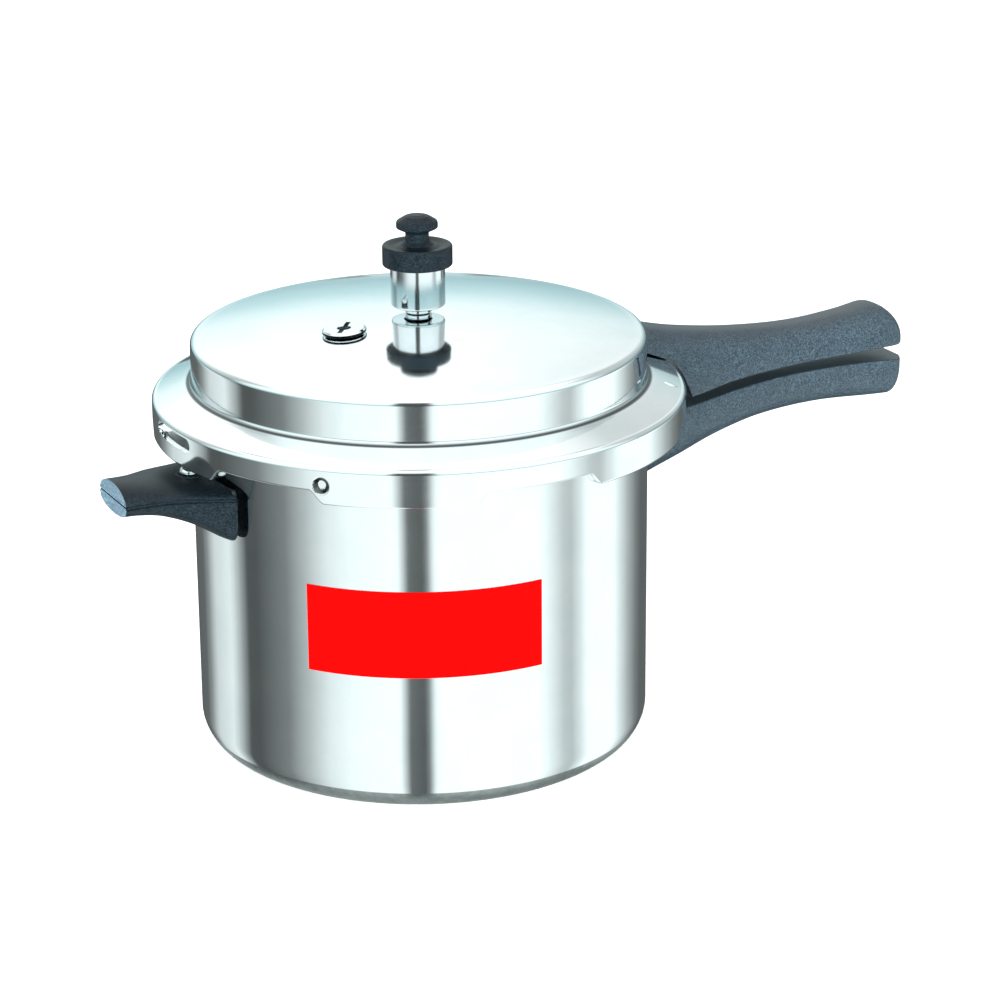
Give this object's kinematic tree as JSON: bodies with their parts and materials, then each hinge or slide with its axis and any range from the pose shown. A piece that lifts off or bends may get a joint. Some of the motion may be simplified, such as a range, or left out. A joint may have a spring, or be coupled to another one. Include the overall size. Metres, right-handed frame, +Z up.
{
  "type": "stovetop pressure cooker",
  "caption": "Aluminium stovetop pressure cooker with a twist-lock lid, dead-weight valve, safety plug, long paired handles and a helper handle.",
  "frame": {"origin": "centre of the pot's base, on the pot's axis and on the surface it stands on", "axes": "+Z up the pot's axis, +X along the long handles, away from the pot"},
  "size_m": [0.4095, 0.245, 0.249],
  "materials": {
    "polished_aluminium": "mirror polished",
    "cast_aluminium": "satin",
    "steel": "polished",
    "zinc_steel": "satin",
    "brass": "turned",
    "bakelite": "satin moulded",
    "rubber": "matte",
    "label": "printed foil",
    "fusible_metal": "dull"
  },
  "bodies": {
    "pot": {"pot_body": "polished_aluminium", "front_label": "label", "pot_handle": "bakelite", "pot_handle_bracket": "cast_aluminium", "pot_handle_screw": "zinc_steel", "pot_handle_rivet_1": "cast_aluminium", "pot_handle_rivet_2": "cast_aluminium", "helper_handle": "bakelite", "helper_handle_bracket": "cast_aluminium", "helper_handle_screw": "zinc_steel", "helper_handle_rivet_1": "cast_aluminium", "helper_handle_rivet_2": "cast_aluminium"},
    "gasket": {"gasket": "rubber"},
    "lid": {"lid_shell": "polished_aluminium", "lid_handle": "bakelite", "lid_handle_bracket": "cast_aluminium", "lid_handle_screw": "zinc_steel", "lid_handle_rivet_1": "cast_aluminium", "lid_handle_rivet_2": "cast_aluminium", "vent_tube": "brass", "vent_tube_washer": "rubber", "vent_tube_nut": "brass", "safety_plug_body": "steel", "safety_plug_core": "fusible_metal", "safety_plug_washer": "rubber", "safety_plug_nut": "zinc_steel"},
    "valve_needle": {"weight_needle": "steel", "weight_needle_clip": "zinc_steel"},
    "weight": {"weight_body": "steel", "weight_cap": "bakelite"}
  },
  "joints": [
    {"name": "lid_lift", "type": "slide", "parent": "pot", "child": "gasket", "axis": [0, 0, 1], "range_m": [0, 0.12]},
    {"name": "lid_turn", "type": "hinge", "parent": "gasket", "child": "lid", "pos_m": [0, 0, 0.17], "axis": [0, 0, 1], "range_deg": [0, 30]},
    {"name": "weight_lift", "type": "slide", "parent": "lid", "child": "valve_needle", "axis": [0, 0, 1], "range_m": [0, 0.03]},
    {"name": "weight_spin", "type": "hinge", "parent": "valve_needle", "child": "weight", "pos_m": [0, 0, 0.22], "axis": [0, 0, 1], "continuous": true}
  ]
}
